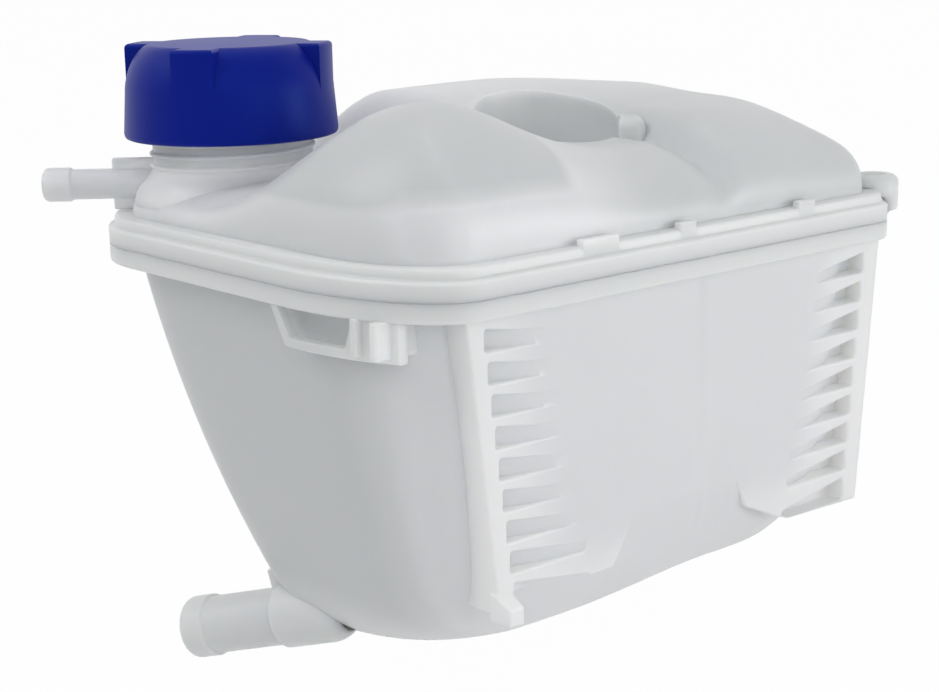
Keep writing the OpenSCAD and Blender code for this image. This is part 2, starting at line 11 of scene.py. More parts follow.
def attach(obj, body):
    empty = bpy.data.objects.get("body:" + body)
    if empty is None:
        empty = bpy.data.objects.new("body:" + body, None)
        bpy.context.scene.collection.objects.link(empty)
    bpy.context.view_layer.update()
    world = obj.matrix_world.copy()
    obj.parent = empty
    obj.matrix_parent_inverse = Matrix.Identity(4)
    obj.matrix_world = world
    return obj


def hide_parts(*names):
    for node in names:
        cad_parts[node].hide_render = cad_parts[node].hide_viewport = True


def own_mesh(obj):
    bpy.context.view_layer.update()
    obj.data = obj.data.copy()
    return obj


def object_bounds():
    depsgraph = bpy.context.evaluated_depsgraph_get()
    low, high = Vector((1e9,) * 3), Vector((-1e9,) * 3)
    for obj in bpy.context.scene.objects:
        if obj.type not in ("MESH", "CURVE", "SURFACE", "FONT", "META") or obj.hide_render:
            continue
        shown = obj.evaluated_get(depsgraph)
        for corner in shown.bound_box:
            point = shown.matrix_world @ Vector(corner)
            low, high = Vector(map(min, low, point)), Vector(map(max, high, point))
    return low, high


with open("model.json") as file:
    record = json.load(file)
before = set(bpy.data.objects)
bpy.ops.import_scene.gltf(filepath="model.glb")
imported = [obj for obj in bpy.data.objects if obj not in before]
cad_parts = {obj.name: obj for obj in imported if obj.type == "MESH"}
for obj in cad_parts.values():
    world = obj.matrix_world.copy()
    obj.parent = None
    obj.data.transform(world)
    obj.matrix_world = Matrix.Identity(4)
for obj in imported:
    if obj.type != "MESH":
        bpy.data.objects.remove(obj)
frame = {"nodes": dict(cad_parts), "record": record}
cad_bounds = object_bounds()

# Lengths below are millimetres, measured from the top left corner of the front plate at the
# flange's lower face: x along the plate, y back from it, z up. EYE is the frame's origin there.
EYE = np.array([194.5, 12.0, 7.5])
UNIT = 0.001

# How far pieces reach into each other, or past what they cut
OVER = 1.0
FAR = 80.0

# Weld flange: its two layers, the step that leads to the dome as (height, inset), and the tabs as (x, width)
FLANGE_T = 6.0
FLANGE_TOP = 2 * FLANGE_T
FLANGE_ROUND_LOW = 1.0
FLANGE_ROUND_TOP = 1.1
SEAM_R = 0.35
DOME_Z = FLANGE_TOP + 3.5
FLANGE_BOX = (-23.5, -3.0, 191.0, 172.0)
FLANGE_CORNERS = ((28, 58), (11, 14), (26, 28), (25, 32))
FLANGE_STEP = [(FLANGE_TOP + 0.15, 1.7), (FLANGE_TOP + 0.5, 2.0), (DOME_Z - 1.2, 2.2), (DOME_Z - 0.5, 2.5),
               (DOME_Z - 0.1, 3.2)]
TABS = ((44, 15), (85, 7), (140, 8))
TAB_SPAN_Y = (-1, 2)
TAB_RISE = 2

# Bowl: its corners at the top and at the floor, how it narrows, and how the floor lies
WALL = 2.5
BOWL_INSET = 7.5
BOWL_DEPTH = 97.5
BOWL_CORNERS_TOP = ((44, 42), (34, 30), (30, 30), (28, 30))
BOWL_CORNERS_LOW = ((38, 24), (40, 30), (30, 30), (34, 30))
BOWL_MID = (70.0, 75.0)
DEPTH_MIX = (0.79, 0.21)
LEAN_MIX = (0.55, 0.45)
LEAN_LEFT = 31.0
LEAN_RIGHT = 12.0
LEAN_BACK = 46.0
SKEW = 6.0
SKEW_X = (60, 10)
SKEW_Y = (95, 20)
FLOOR_R = 26.0
FLOOR_DROP = 32.0
FLOOR_RUN = 110.0
FLOOR_LOW = 3.6
FLOOR_RISE_LEFT = 4.8
FLOOR_RISE_LEFT_X = (-20, 30)
FLOOR_RISE_RIGHT = 3.2
FLOOR_RISE_RIGHT_X = (60, 125)

# Baffle with its two passages at the floor
BAFFLE_X = 96.0
BAFFLE_T = 2.0
BAFFLE_TOP = -5
BAFFLE_BACK = 175
PASSAGES_Y = (40.0, 120.0)
PASSAGE_R = 14

# Front plate and its pockets
PLATE_W = 183.5
PLATE_H = 89.5
PLATE_TOP = 2
PLATE_IN_LEFT = 11.0
PLATE_IN_RIGHT = 9.5
PLATE_BACK = 0.02
PLATE_DEEP = 22.0
PLATE_ROUND = 0.9
POST_W = 6.2
POST_MORE_RIGHT = 1.5
POCKET_ROWS = 9
POCKET_FIRST = 3.2
POCKET_DEEP = 6.5
POCKET_PITCH = 9.6
POCKET_LOWER_RIGHT = 0.8
POCKET_H = 6.6
POCKET_TIP_H = 3.0
POCKET_EXTRA = 1.0
POCKET_LEN = 22.5
POCKET_GROW = 0.9
POCKET_FLARE = 0.9
POCKET_FLARE_Y = (0, 0.1, 0.25, 0.45, 0.65)
POCKET_CORNER = 1.0
POCKET_AHEAD = 2.0

# The plate's two feet, the right one's edge from its tip's corner, and the toe at the left post
PLATE_WAIST = 1.5
FOOT_LEFT = 46.0
FOOT_RIGHT = 40.0
FOOT_RISE = 4.0
FOOT_RUN = 10.0
FOOT_RIGHT_EDGE = ((5, 0.8), (0, 2.4), (-16, 9.5))
FOOT_RIGHT_RUN = 22
TOE_OUT = 6.0
TOE_IN = 3
TOE_H = 7.5
TOE_SLOPE = 3
TOE_DROP = 1
TOE_W = POST_W - 0.4
TOE_SHIFT = 1.8

# Dome: its height, curve, basin round the neck, lobes as (place, size), groove and trough as lines
DOME_H = 32.5
DOME_RUN = 30.0
DOME_INSET = 6.5
DOME_CORNERS = ((30, 46), (16.2, 18.6), (34, 34), (30, 36))
DOME_CURVE = 0.85
DOME_CURVE_RIGHT = 0.13
DOME_CURVE_X = (110, 170)
BASIN_R = 36
BASIN_RUN = 30
BASIN_FLAT = 0.78
BASIN_FLOOR = 12.0
PILLOW_H = 8.5
PILLOW = ((24, 40), (26, 26))
BACK_LOBE_H = 3
BACK_LOBE = ((118, 112), (70, 36))
RIGHT_SWELL = 8.3
SWELL = ((165, 43), (56, 38))
GROOVE_H = 4.0
GROOVE_W = 5
GROOVE = ((110, -10), (110, 46))
TROUGH_H = 7
TROUGH_W = 14
TROUGH = ((26, 93), (66, 84))
FALL_H = 12.0
FALL_X = (15, 100)
FALL_Y = (92, 50)
FALL_EASE = 0.45
FALL_EASE_X = (108, 122)
RIGHT_FALL = 2.6
RIGHT_FALL_FRONT = 5.8
RIGHT_FALL_X = (125, 173)
RIGHT_FALL_Y = (60, 10)

# Round well in the dome, with the block at its edge
WELL_AT = (93.0, 67.0)
WELL_R = 24.5
WELL_FLOOR = 22.0
BLOCK_TURN = -42.0
BLOCK_W = 16.0
BLOCK_T = 8.0
BLOCK_TOP = 44.0
BLOCK_ROUND = 3.4

# Filler neck: its foot as (radius, height over the dome's rim), its lip as (inset, drop), and the thread
NECK_AT = (16.6, 136.3)
NECK_BORE_R = 23.0
NECK_R = 26.2
NECK_TOP = 61.0
NECK_FOOT = ((33, 4), (32.2, 6.4), (31, 8.6), (29.3, 10.6), (27.9, 12), (27.0, 13.2), (26.4, 14.3), (NECK_R, 15.2))
NECK_LIP = ((0, 0.8), (0.25, 0.2), (0.8, 0))
NECK_CHAMFER = 0.8
THREAD_H = 1.1
THREAD_PITCH = 3.8
THREAD_LOW = 29.4
THREAD_HIGH = 58.0
THREAD_FADE = 0.15
THREAD_SUNK = 0.05
THREAD_SECTION = np.array([(-0.6, -1.15), (0.35, -0.8), (1.0, -0.3), (1.0, 0.3), (0.35, 0.8), (-0.6, 1.15)])

# Hose connections, with the rounding of their raised ends
BEAD_NOSE = 2.0
BEAD_STEP = 0.8
OUTLET_AT = (19.5, 95.5, -115.4)
OUTLET_TURN = 24.0
OUTLET_DIP = 15.0
OUTLET_ROOT = 20.0
OUTLET_LEN = 36.0
OUTLET_R = 9.8
OUTLET_BEAD_R = 10.6
OUTLET_BEAD_LEN = 9.0
OUTLET_BORE_R = 7.9
OUTLET_WEB_Y = (7, 3)
OUTLET_WEB_Z = (8, 20)
COLLAR_R = OUTLET_R + 1.2
COLLAR_END = ((0, 2.8), (0.3, 2.1), (1.0, 1.8))
NIPPLE_TURN = 140.0
NIPPLE_Z = 24.5
NIPPLE_FROM = 23.0
NIPPLE_LEN = 40.0
NIPPLE_R = 5.0
NIPPLE_BEAD_R = 5.6
NIPPLE_BEAD_LEN = 9.0
NIPPLE_BORE_R = 3.4
NIPPLE_WEB_H = 8.5
NIPPLE_WEB_T = 1.5
NIPPLE_WEB_LEN = 17

# Screw eye
EYE_H = 12.0
EYE_R = 8.5
EYE_BORE_R = 3.5
EYE_ROUND = 0.8
EYE_ROUND_TOP = 2.8
EYE_SINK = 1.3
EYE_ARM = 18

# Mounting loop below the flange, with its ribs
LOOP_H = 12.0
LOOP_T = 3.0
LOOP_FROM = 27.0
LOOP_SPAN = 32.0
LOOP_INSET = 1.3
LOOP_LEAD = 12
LOOP_TAIL = 14
LOOP_BEND = 0.72
LOOP_SLOPES = (3, 6)
LOOP_BACK_SLOPE = 7
LOOP_BELOW = 9
LOOP_REACH = 40.0
RIB_IN = 4
RIB_LEN = 24
RIB_UP = 1.5
RIB_APART = 12

# Cap: the skirt's lower edge as (inset, height), its lobes, its inner ring and its snap ring
CAP_R = 35.0
CAP_H = 30.0
CAP_Z = 40.0
CAP_WALL = 2.4
CAP_EDGE = ((1.2, 0), (0.5, 0.3), (0.15, 0.9), (0, 1.8))
CAP_SHOULDER = 15.0
CAP_TOP_R = 25.5
CAP_BULGE = 1.2
CAP_RING_R = 27.1
CAP_CEILING = 27.0
LOBES = 4
LOBE_W = 14.0
LOBE_R = 34.0
LOBE_TURN = 36.3
LOBE_LOW = 9
LOBE_ROUND = 1.4
SNAP_R = 18.0
SNAP_T = 2.6
SNAP_H = 3.2

# Springs of the valve insert: radius, wire radius, lower and upper end from the neck's mouth, turns
RELIEF_COIL = (10.5, 0.6, -10.65, -2.45, 3.5)
RELIEF_LIFT = 2.5
VACUUM_COIL = (3.2, 0.3, -10.65, -6.95, 3.0)
VACUUM_TRAVEL = 1.2
COIL_GAP = 0.05
COIL_FLAT = 0.08

# How finely the outlines are drawn
CORNER_N = 22
SIDE_N = (52, 34, 44, 30)
ROUND_N = 128
CAP_N = 192
THREAD_N = 72
COIL_N = 40
WIRE_N = 12
FLOOR_N = 9
WALL_N = 21
FLOOR_STEP = 6
DOME_STEP = 4.5
TOP_N = 24

# Materials: the clouds that all share, and the painted light and shade, with a paler back of the dome, on the tank's
# plastic, each a product of bands as (axis, where it is 0, where it is 1) in millimetres, with the tone that it adds
CLOUD_SCALE = 14.0
CLOUD_DETAIL = 3.0
CLOUD_FROM = 0.3
CLOUD_TO = 0.7
GLOSS_LESS = 0.05
GLOSS_MORE = 0.06
GRAIN_DETAIL = 4.0
GRAIN_STRENGTH = 0.35
BELOW = ("Z", 2, -3)
ABOVE = ("Z", 14, 19)
# Painted light from the floor on the front plate, stronger toward the bottom
FRONT_PAINTED_LIGHT = ((("Y", 30, 16), BELOW, ("Z", 60, -95)), 0.56)
# Painted shade on the left wall, which faces away from the light
LEFT_PAINTED_SHADE = ((("X", 45, 5), ("Y", 18, 45), BELOW, ("Z", -114, -96)), -0.5)
# Painted shade on the dome's steep front right
DOME_FRONT_RIGHT_PAINTED_SHADE = ((ABOVE, ("Y", 90, 50), ("X", 40, 95)), -0.55)
# Painted light on the dome's low front left corner
DOME_CORNER_PAINTED_LIGHT = ((ABOVE, ("X", 80, 30), ("Z", 42, 30)), 0.85)
DOME_BACK_TONE = ((ABOVE, ("Y", 85, 115)), 0.3)
# Painted shadow under the cap on the neck, and painted shade on the high dome beside it
NECK_PAINTED_SHADOW = ((("Z", 28, 34), ("X", 52, 44)), -0.9)
# Painted shade on the nipple and the dome's left end
NIPPLE_PAINTED_SHADE = ((ABOVE, ("X", -6, -14)), -0.9)
# Painted shadow line where the baffle stands behind the wall
BAFFLE_PAINTED_SHADOW = ((("X", BAFFLE_X - 4, BAFFLE_X), ("X", BAFFLE_X + 4, BAFFLE_X), BELOW, ("Z", -100, -80)), -0.13)
TONES = (FRONT_PAINTED_LIGHT, LEFT_PAINTED_SHADE, DOME_FRONT_RIGHT_PAINTED_SHADE, DOME_CORNER_PAINTED_LIGHT, DOME_BACK_TONE, NECK_PAINTED_SHADOW, NIPPLE_PAINTED_SHADE,
         BAFFLE_PAINTED_SHADOW)
# The ramp's colours: grey for the painted shade, pale for the painted light
TONE_GREY = (0.68, 0.695, 0.70, 1)
TONE_MIDDLE = (0.80, 0.812, 0.81, 1)
TONE_PALE = (0.95, 0.955, 0.955, 1)

# Camera, in the frame's axes: where it stands in metres, where it looks and its roll
CAMERA_AT = (-0.5247, -0.4014, 0.1058)
HEADING = math.radians(40.4)
PITCH = math.radians(13.2)
ROLL = math.radians(-1.2)
FOCAL_PX = 1899.6
IMAGE_W = 939.0
SENSOR_W = 36.0

# Floor and light, in metres and watts: each lamp's name, place, size and power
FLOOR_SIZE = 12.0
FLOOR_GAP = 0.001
FLOOR_COLOUR = (0.93, 0.93, 0.93, 1)
FLOOR_SEEN = 0.98
SKY_COLOUR = (0.97, 0.985, 1.0, 1)
SKY_STRENGTH = 0.365
LAMPS_LOOK_AT = (-0.1, 0.07, -0.04)
LAMPS = (("front_right", (0.95, -1.25, 0.1), 0.5, 5.4), ("front", (-0.2, -1.45, 0.25), 0.8, 3.0),
         ("front_left", (-1.1, -0.9, 0.8), 0.9, 2.3), ("back_left", (-1.05, 0.55, 1.0), 1.0, 5.0),
         ("top", (-0.1, 0.1, 1.3), 1.0, 2.5))


def smooth(t):
    c = np.clip(t, 0, 1)
    return c * c * (3 - 2 * c)


def fade(v, start, end):
    return smooth((v - start) / (end - start))


def metres(points):
    """From millimetres at the plate's corner to metres at the screw eye."""
    return (np.asarray(points, float) - EYE) * UNIT


def mesh_object(name, points, faces):
    """A linked object from points in millimetres and faces."""
    mesh = bpy.data.meshes.new(name)
    mesh.from_pydata(metres(points), [], faces)
    mesh.update()
    obj = bpy.data.objects.new(name, mesh)
    bpy.context.scene.collection.objects.link(obj)
    return obj


def outline(box, corners, inset):
    """A rounded outline; the corners start at the front left and have a radius each way."""
    arcs = []
    lo = (box[0] + inset, box[1] + inset)
    hi = (box[2] - inset, box[3] - inset)
    places = ((0, 0, 180), (1, 0, 270), (1, 1, 0), (0, 1, 90))
    for (right, back, start), corner in zip(places, corners):
        rx = max(corner[0] - inset, 4)
        ry = max(corner[1] - inset, 4)
        cx = hi[0] - rx if right else lo[0] + rx
        cy = hi[1] - ry if back else lo[1] + ry
        a = np.radians(start + 90 * np.linspace(0, 1, CORNER_N + 1))
        arcs.append(np.column_stack([cx + rx * np.cos(a), cy + ry * np.sin(a)]))
    points = []
    for k, arc in enumerate(arcs):
        end = arcs[(k + 1) % 4][0]
        share = np.linspace(0, 1, SIDE_N[k] + 2)[1:-1, None]
        points += [arc, arc[-1] + (end - arc[-1]) * share]
    return np.vstack(points)


def lift(points, z):
    return np.column_stack([points, np.broadcast_to(z, len(points))])


def outward(obj):
    """Turns all the faces outward."""
    bm = bmesh.new()
    bm.from_mesh(obj.data)
    bmesh.ops.recalc_face_normals(bm, faces=bm.faces)
    bm.to_mesh(obj.data)
    bm.free()


def skin(name, first, rings, last):
    """A closed skin through rings of equal length, with a point at each end."""
    n = len(rings[0])
    points = np.vstack([[first], *rings, [last]])
    faces = []
    for i in range(len(rings) - 1):
        a = 1 + i * n
        faces += [(a + j, a + (j + 1) % n, a + n + (j + 1) % n, a + n + j) for j in range(n)]
    end = len(points) - 1
    top = end - n
    faces += [(0, 1 + (j + 1) % n, 1 + j) for j in range(n)]
    faces += [(end, top + j, top + (j + 1) % n) for j in range(n)]
    obj = mesh_object(name, points, faces)
    outward(obj)
    return obj


def place(points, matrix):
    m = np.array(matrix)
    return np.asarray(points, float) @ m[:3, :3].T + m[:3, 3]


def at(x=0.0, y=0.0, z=0.0):
    return Matrix.Translation((x, y, z))


def turned(degrees, axis):
    return Matrix.Rotation(math.radians(degrees), 4, axis)


def revolve(name, profile, matrix, count=ROUND_N):
    """A solid of revolution round z from (r, z) pairs that begin and end on the axis."""
    a = np.linspace(0, 2 * np.pi, count, endpoint=False)
    rings = [np.column_stack([r * np.cos(a), r * np.sin(a), np.full(count, z)]) for r, z in profile[1:-1]]
    ends = [(0, 0, profile[0][1]), (0, 0, profile[-1][1])]
    obj = skin(name, ends[0], [place(ring, matrix) for ring in rings], ends[1])
    first, last = metres(place(ends, matrix))
    obj.data.vertices[0].co = first
    obj.data.vertices[len(obj.data.vertices) - 1].co = last
    return obj


def cylinder(name, r, z0, z1, matrix, count=ROUND_N):
    return revolve(name, [(0, z0), (r, z0), (r, z1), (0, z1)], matrix, count)


def prism(name, polygon, height, matrix, bevel=0.0):
    """An upright prism with its sharp edges rounded by bevel."""
    n = len(polygon)
    low = lift(np.array(polygon, float), 0.0)
    high = lift(np.array(polygon, float), height)
    faces = [tuple(range(n))[::-1], tuple(range(n, 2 * n))]
    faces += [(j, (j + 1) % n, n + (j + 1) % n, n + j) for j in range(n)]
    obj = mesh_object(name, place(np.vstack([low, high]), matrix), faces)
    outward(obj)
    if bevel:
        mod = obj.modifiers.new("round", "BEVEL")
        mod.width = bevel * UNIT
        mod.segments = 3
        mod.limit_method = "ANGLE"
        mod.angle_limit = math.radians(35)
        settle(obj)
    return obj


def block(name, low, high, matrix=Matrix.Identity(4), bevel=0.0):
    (x0, y0, z0), (x1, y1, z1) = low, high
    return prism(name, [(x0, y0), (x1, y0), (x1, y1), (x0, y1)], z1 - z0, matrix @ at(z=z0), bevel)


def settle(obj):
    """Applies an object's modifiers."""
    mesh = bpy.data.meshes.new_from_object(obj.evaluated_get(bpy.context.evaluated_depsgraph_get()))
    obj.modifiers.clear()
    obj.data = mesh


def combine(obj, operation, *tools):
    """Joins, cuts or intersects an object with others, which are used up."""
    for tool in tools:
        mod = obj.modifiers.new(operation, "BOOLEAN")
        mod.operation = operation
        mod.solver = "MANIFOLD"
        mod.object = tool
        settle(obj)
        bpy.data.objects.remove(tool)
    return obj


# The bowl: the solid's rings drawn finer, over a floor that is fitted closer to the photograph
def floor_depth(x, y):
    rise = (-FLOOR_LOW + FLOOR_RISE_LEFT * fade(x, *FLOOR_RISE_LEFT_X)
            + FLOOR_RISE_RIGHT * fade(x, *FLOOR_RISE_RIGHT_X))
    return BOWL_DEPTH - rise + FLOOR_DROP * np.sin(np.pi / 2 * np.clip(y / FLOOR_RUN, 0, 1))


def bowl_ring(t, phi, skin_in):
    """A ring at share t of the wall's height, or at angle phi of the rounding to the floor."""
    r = FLOOR_R - skin_in
    u = DEPTH_MIX[0] * t + DEPTH_MIX[1] * math.sin(phi)
    lean = LEAN_MIX[0] * u + LEAN_MIX[1] * u * u
    box = (FLANGE_BOX[0] + BOWL_INSET + LEAN_LEFT * lean, PLATE_BACK,
           FLANGE_BOX[2] - BOWL_INSET - LEAN_RIGHT * lean, FLANGE_BOX[3] - BOWL_INSET - LEAN_BACK * lean)
    corners = [[a + (b - a) * u for a, b in zip(high, low)]
               for high, low in zip(BOWL_CORNERS_TOP, BOWL_CORNERS_LOW)]
    p = outline(box, corners, skin_in + r * (1 - math.cos(phi)))
    p[:, 0] -= SKEW * u * fade(p[:, 0], *SKEW_X) * fade(p[:, 1], *SKEW_Y)
    return lift(p, -t * (floor_depth(p[:, 0], p[:, 1]) - FLOOR_R) - r * math.sin(phi))


def floor_ring(share, skin_in):
    rim = bowl_ring(1, math.pi / 2, skin_in)[:, :2]
    p = BOWL_MID + (rim - BOWL_MID) * share
    return lift(p, skin_in - floor_depth(p[:, 0], p[:, 1]))


def bowl_rings(skin_in):
    rings = [floor_ring(share, skin_in) for share in np.linspace(0.1, 0.9, FLOOR_N)]
    rings += [bowl_ring(1, phi, skin_in) for phi in np.radians(np.arange(90, 0, -FLOOR_STEP))]
    rings += [bowl_ring(t, 0, skin_in) for t in np.linspace(1, 0, WALL_N)]
    return rings


def flange_rings(levels):
    """Rings of the flange from (z, inset) pairs."""
    return [lift(outline(FLANGE_BOX, FLANGE_CORNERS, inset), z) for z, inset in levels]


def rounded_levels(z0, z1, r0, r1):
    """(z, inset) pairs of a band between two heights, with its lower and upper edge rounded."""
    share = np.linspace(0, 1, 5)
    low = [(z0 + r0 * (1 - math.cos(b)), r0 * (1 - math.sin(b))) for b in share * math.pi / 2]
    high = [(z1 - r1 * (1 - math.cos(b)), r1 * (1 - math.sin(b))) for b in share[::-1] * math.pi / 2]
    return low + high


def bowl(name, skin_in, top):
    rings = bowl_rings(skin_in) + top
    depth = skin_in - float(floor_depth(*BOWL_MID))
    return skin(name, (*BOWL_MID, depth), rings, (*BOWL_MID, top[-1][0][2]))


def pocket_cutter(name, x, z, length, h, way):
    """A pocket's space: level below, falling above, with a round inner end, flared at the plate's face."""
    flare, corner = POCKET_FLARE, POCKET_CORNER
    tip_r = POCKET_TIP_H / 2
    levels = [(-POCKET_AHEAD, flare)]
    for y in (*POCKET_FLARE_Y, flare):
        levels.append((y, flare * (1 - math.sqrt(1 - (1 - y / flare) ** 2))))
    levels.append((POCKET_DEEP, 0.0))
    bend = np.radians(np.linspace(-90, 90, 15))
    rings = []
    for y, grow in levels:
        r = tip_r + grow
        tip = [(length + r * math.cos(b), tip_r + r * math.sin(b)) for b in bend]
        low, high = -grow, h + grow
        top = [(corner - grow, high), (0.3 * corner - grow, high - 0.3 * corner), (-grow, high - corner)]
        foot = [(-grow, low + corner), (0.3 * corner - grow, low + 0.3 * corner), (corner - grow, low)]
        rings.append(np.array([(x + way * px, y, z - h / 2 + pz) for px, pz in tip + top + foot]))
    return skin(name, rings[0].mean(axis=0), rings, rings[-1].mean(axis=0))


def plate_left(z):
    return -PLATE_IN_LEFT * z / PLATE_H


def plate_right(z):
    return PLATE_W + PLATE_IN_RIGHT * z / PLATE_H


def front_plate():
    low = -PLATE_H
    left = plate_left(low) + FOOT_LEFT
    right = plate_right(low) - FOOT_RIGHT
    middle = FLOOR_R + PLATE_WAIST - BOWL_DEPTH
    post = plate_left(low) + POST_W
    foot = [(right + dx, low + dz) for dx, dz in FOOT_RIGHT_EDGE]
    polygon = [(0, PLATE_TOP), (PLATE_W, PLATE_TOP), (plate_right(low), low), *foot,
               (right - FOOT_RIGHT_RUN, middle), (left + FOOT_RUN, middle),
               (left, low + FOOT_RISE), (post, low + FOOT_RISE), (post, low), (plate_left(low), low)]
    stand = at(y=PLATE_DEEP) @ turned(90, "X")
    plate = prism("plate", polygon, PLATE_DEEP, stand, bevel=PLATE_ROUND)
    cutters = []
    for i in range(POCKET_ROWS):
        length = POCKET_LEN + POCKET_GROW * i
        h = POCKET_H if i < POCKET_ROWS - 1 else POCKET_H + POCKET_EXTRA
        z_left = -POCKET_FIRST - POCKET_PITCH * i - h / 2
        z_right = z_left - POCKET_LOWER_RIGHT
        x_left = plate_left(z_left) + POST_W
        x_right = plate_right(z_right) - POST_W - POST_MORE_RIGHT
        cutters.append(pocket_cutter("pocket", x_left, z_left, length, h, 1))
        cutters.append(pocket_cutter("pocket", x_right, z_right, length, h, -1))
    combine(plate, "DIFFERENCE", *cutters)
    section = [(TOE_IN, low - TOE_DROP), (-TOE_OUT, low - TOE_DROP), (-TOE_OUT, low + TOE_H - TOE_SLOPE),
               (0, low + TOE_H), (TOE_IN, low + TOE_H)]
    stand = at(plate_left(low) - TOE_SHIFT) @ turned(90, "Z") @ turned(90, "X")
    return combine(plate, "UNION", prism("toe", section, TOE_W, stand, bevel=0.8))


def beaded_profile(length, r, bead_r, bead_len):
    """A hose connection's outline as (r, z) pairs, with a raised, rounded end."""
    a = np.radians(np.linspace(0, 90, 7))
    tip = [(bead_r - BEAD_NOSE + BEAD_NOSE * math.cos(b), length - BEAD_NOSE + BEAD_NOSE * math.sin(b)) for b in a]
    return [(0, 0), (r, 0), (r, length - bead_len - BEAD_STEP), (bead_r, length - bead_len)] + tip + [(0, length)]


def outlet_matrix():
    return at(*OUTLET_AT) @ turned(OUTLET_TURN, "Z") @ turned(-90 - OUTLET_DIP, "X")


def outlet():
    m = outlet_matrix()
    tube = revolve("outlet", beaded_profile(OUTLET_ROOT + OUTLET_LEN, OUTLET_R, OUTLET_BEAD_R, OUTLET_BEAD_LEN), m)
    a = np.radians(np.linspace(-90, 0, 13))
    root = [(COLLAR_R * math.cos(b), COLLAR_R * math.sin(b)) for b in a]
    root += [(COLLAR_R - dr, OUTLET_ROOT - dz) for dr, dz in COLLAR_END]
    root += [(0, OUTLET_ROOT - COLLAR_END[-1][1])]
    collar = revolve("collar", root, m)
    web = block("web", (-LOOP_T / 2, -OUTLET_R - OUTLET_WEB_Y[0], OUTLET_WEB_Z[0]),
                (LOOP_T / 2, -OUTLET_R + OUTLET_WEB_Y[1], OUTLET_WEB_Z[1]), m, bevel=0.8)
    return combine(tube, "UNION", collar, web)


def mounting_loop():
    outer = outline(FLANGE_BOX, FLANGE_CORNERS, LOOP_INSET)
    inner = outline(FLANGE_BOX, FLANGE_CORNERS, LOOP_INSET + LOOP_T)
    last = int(CORNER_N * LOOP_BEND)
    lead = (0, LOOP_LEAD)
    strip = [outer[0] + lead] + list(outer[:last]) + list(inner[:last][::-1]) + [inner[0] + lead]
    loop = prism("loop", strip, LOOP_H + OVER, at(z=-LOOP_H), bevel=0.5)
    side = turned(90, "Z") @ turned(90, "X")
    low = -LOOP_H
    window = [(0, -0.1), (LOOP_SPAN, -0.1), (LOOP_SPAN - LOOP_SLOPES[1], LOOP_T + low), (LOOP_SLOPES[0], LOOP_T + low)]
    back = [(0, 0), (-LOOP_BACK_SLOPE, low), (-LOOP_BACK_SLOPE, low - LOOP_BELOW), (LOOP_REACH, low - LOOP_BELOW),
            (LOOP_REACH, 0)]
    cut_window = prism("window", window, 2 * LOOP_REACH, at(-LOOP_REACH, LOOP_FROM) @ side)
    cut_back = prism("back", back, 2 * LOOP_REACH, at(-LOOP_REACH, LOOP_FROM + LOOP_SPAN + LOOP_T) @ side)
    front = LOOP_FROM - LOOP_TAIL
    cut_front = block("front", (-LOOP_REACH, front - LOOP_REACH, low - OVER), (LOOP_REACH, front, -0.1))
    combine(loop, "DIFFERENCE", cut_window, cut_back, cut_front)
    left = FLANGE_BOX[0] + BOWL_INSET - RIB_IN
    ribs = [block("rib", (left, y, RIB_UP + low), (left + RIB_LEN, y + LOOP_T, 0.5), bevel=0.6)
            for y in (LOOP_FROM - LOOP_T, LOOP_FROM - RIB_APART)]
    return combine(loop, "UNION", *ribs)


def baffle():
    low = BOWL_DEPTH + FLOOR_DROP
    wall = block("baffle", (BAFFLE_X - BAFFLE_T / 2, 0, -low), (BAFFLE_X + BAFFLE_T / 2, BAFFLE_BACK, BAFFLE_TOP))
    for y in PASSAGES_Y:
        stand = at(BAFFLE_X, y, -float(floor_depth(BAFFLE_X, y))) @ turned(90, "Y")
        combine(wall, "DIFFERENCE", cylinder("hole", PASSAGE_R, -5, 5, stand))
    rim = bowl_ring(0, 0, WALL / 2)[:, :2]
    return combine(wall, "INTERSECT", bowl("fit", WALL / 2, [lift(rim, 0.5)]))


def lower_moulding():
    flange = flange_rings(rounded_levels(0, FLANGE_T, FLANGE_ROUND_LOW, SEAM_R))
    body = bowl("tank_lower", 0, flange)
    combine(body, "UNION", front_plate(), outlet(), mounting_loop())
    rim = bowl_ring(0, 0, WALL)[:, :2]
    combine(body, "DIFFERENCE", bowl("space", WALL, [lift(rim, FLANGE_T + OVER)]))
    combine(body, "DIFFERENCE", cylinder("bore", OUTLET_BORE_R, -12, FAR, outlet_matrix()))
    return combine(body, "UNION", baffle())


# The dome: the solid's height over each point of the plan, fuller at the right as in the photograph
def near_line(x, y, a, b):
    d = np.subtract(b, a)
    t = np.clip(((x - a[0]) * d[0] + (y - a[1]) * d[1]) / (d @ d), 0, 1)
    return np.hypot(x - a[0] - t * d[0], y - a[1] - t * d[1])


def bump(x, y, centre, size):
    return np.exp(-((x - centre[0]) / size[0]) ** 2 - ((y - centre[1]) / size[1]) ** 2)


def crown(p):
    x, y = p[:, 0], p[:, 1]
    basin = smooth((np.hypot(x - NECK_AT[0], BASIN_FLAT * (y - NECK_AT[1])) - BASIN_R) / BASIN_RUN)
    groove = np.exp(-(near_line(x, y, *GROOVE) / GROOVE_W) ** 2)
    trough = np.exp(-(near_line(x, y, *TROUGH) / TROUGH_W) ** 2)
    front_fall = FALL_H * fade(x, *FALL_X) * fade(y, *FALL_Y) * (1 - FALL_EASE * fade(x, *FALL_EASE_X))
    right_fall = fade(x, *RIGHT_FALL_X) * (RIGHT_FALL + RIGHT_FALL_FRONT * fade(y, *RIGHT_FALL_Y))
    swell = RIGHT_SWELL * bump(x, y, *SWELL)
    high = DOME_H + PILLOW_H * bump(x, y, *PILLOW) + BACK_LOBE_H * bump(x, y, *BACK_LOBE)
    high = high + swell - front_fall - right_fall - GROOVE_H * groove - TROUGH_H * trough
    return BASIN_FLOOR + (high - BASIN_FLOOR) * basin


